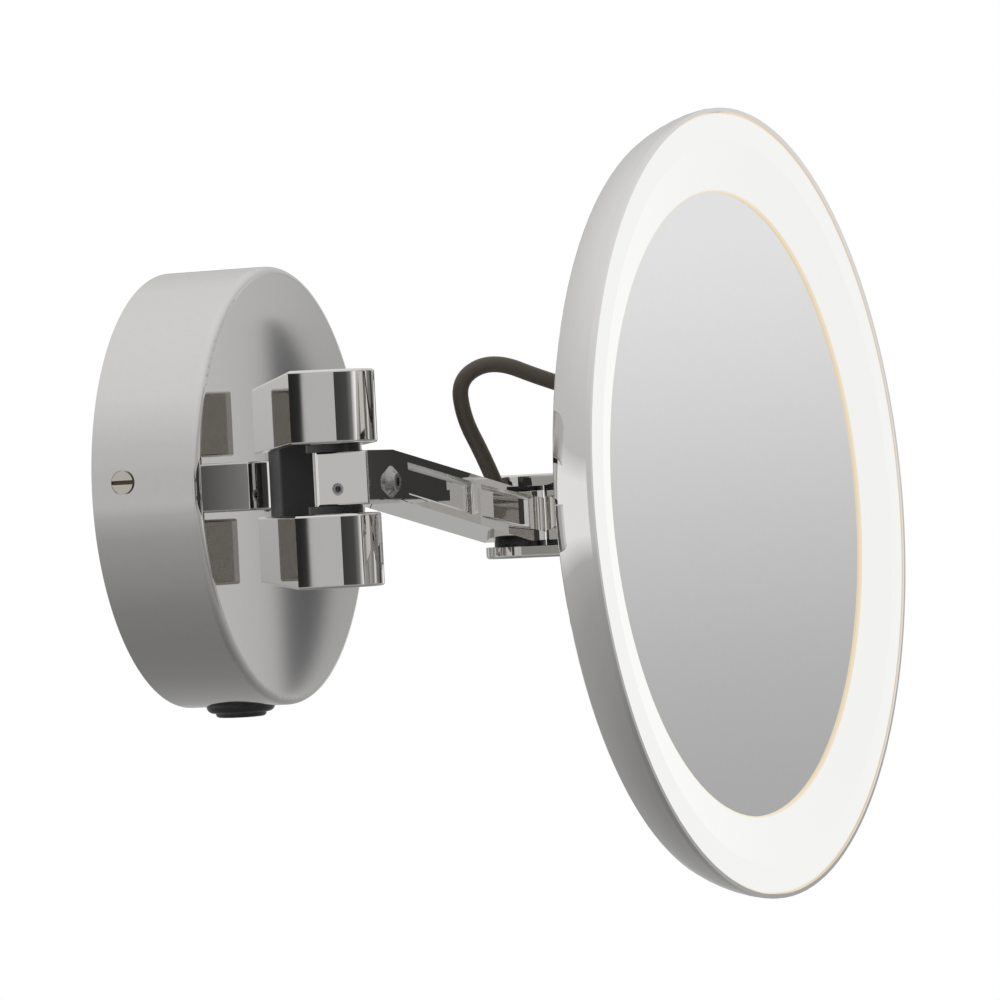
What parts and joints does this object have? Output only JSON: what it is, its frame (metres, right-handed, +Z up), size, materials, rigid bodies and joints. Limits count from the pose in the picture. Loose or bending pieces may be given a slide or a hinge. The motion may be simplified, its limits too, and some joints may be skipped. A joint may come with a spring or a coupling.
{
  "type": "extendable shaving mirror",
  "caption": "Round lit shaving mirror on an extendable wall arm: round wall base with a push switch, folding arm of stacked bars, swivel and tilt joint behind the mirror.",
  "frame": {"origin": "centre of the base's back face, on the wall", "axes": "+Z up, -Y out from the wall into the room, +X to the right when facing the wall"},
  "size_m": [0.2026, 0.1878, 0.2],
  "materials": {
    "chrome_metal": "bright plated metal",
    "bright_screw": "bright steel screws",
    "steel": "plain steel",
    "plated_plate": "zinc plated sheet",
    "switch_black": "black plastic",
    "bezel_dark": "black plastic",
    "driver_case": "white plastic",
    "terminal": "pale plastic",
    "washer_nylon": "dark nylon",
    "grommet": "black rubber",
    "flex_sleeve": "dark brown-grey sleeve",
    "board": "white board",
    "led": "light emitting",
    "diffuser": "lit opal plastic",
    "silvered": "silvered glass",
    "pad": "foam pad"
  },
  "bodies": {
    "base": {"wall_plate": "plated_plate", "base_cover": "chrome_metal", "cover_screws": "bright_screw", "base_lug": "chrome_metal", "lug_screws": "steel", "led_driver": "driver_case", "terminal_block": "terminal", "switch_bezel": "bezel_dark", "switch_body": "switch_black", "pivot_a_pin": "steel", "pivot_a_washers": "steel", "set_screw_a": "steel"},
    "button": {"switch_button": "switch_black"},
    "arm_1": {"upper_bar": "chrome_metal", "lower_bar": "chrome_metal", "bar_web": "washer_nylon", "bar_screws": "steel"},
    "arm_2": {"arm_2_bar": "chrome_metal", "pivot_b_pin": "steel", "pivot_b_washers": "steel", "set_screw_b": "steel", "arm_grommet": "grommet"},
    "link": {"clevis_upper": "chrome_metal", "clevis_lower": "chrome_metal", "pivot_c_pin": "steel", "pivot_c_washers": "steel", "link_block": "chrome_metal", "clevis_screws": "steel", "tilt_washers": "washer_nylon", "flex_arm_side": "flex_sleeve", "flex_head_side": "flex_sleeve"},
    "head": {"rear_shell": "chrome_metal", "head_bracket": "chrome_metal", "bracket_screws": "steel", "tilt_axle": "steel", "head_grommet": "grommet", "led_board": "board", "leds": "led", "diffuser_ring": "diffuser", "mirror_glass": "silvered", "glass_pad": "pad"}
  },
  "joints": [
    {"name": "swing_a", "type": "hinge", "parent": "base", "child": "arm_1", "pos_m": [-0.0335, -0.048, 0], "axis": [0, 0, 1], "range_deg": [-26, 50]},
    {"name": "elbow_b", "type": "hinge", "parent": "arm_1", "child": "arm_2", "pos_m": [-0.12553, -0.09469, 0], "axis": [0, 0, 1], "range_deg": [-140, 0]},
    {"name": "swivel_c", "type": "hinge", "parent": "arm_2", "child": "link", "pos_m": [-0.0282, -0.10701, -0.0115], "axis": [0, 0, 1], "range_deg": [-15, 30], "deforming": ["flex_arm_side"]},
    {"name": "tilt_d", "type": "hinge", "parent": "link", "child": "head", "pos_m": [-0.03377, -0.15142, -0.0115], "axis": [0.9922, -0.1245, 0], "range_deg": [-25, 25], "deforming": ["flex_head_side"]},
    {"name": "switch_press", "type": "slide", "parent": "base", "child": "button", "axis": [0, 0, 1], "range_m": [0, 0.001], "stiffness_N_per_m": 1200}
  ]
}
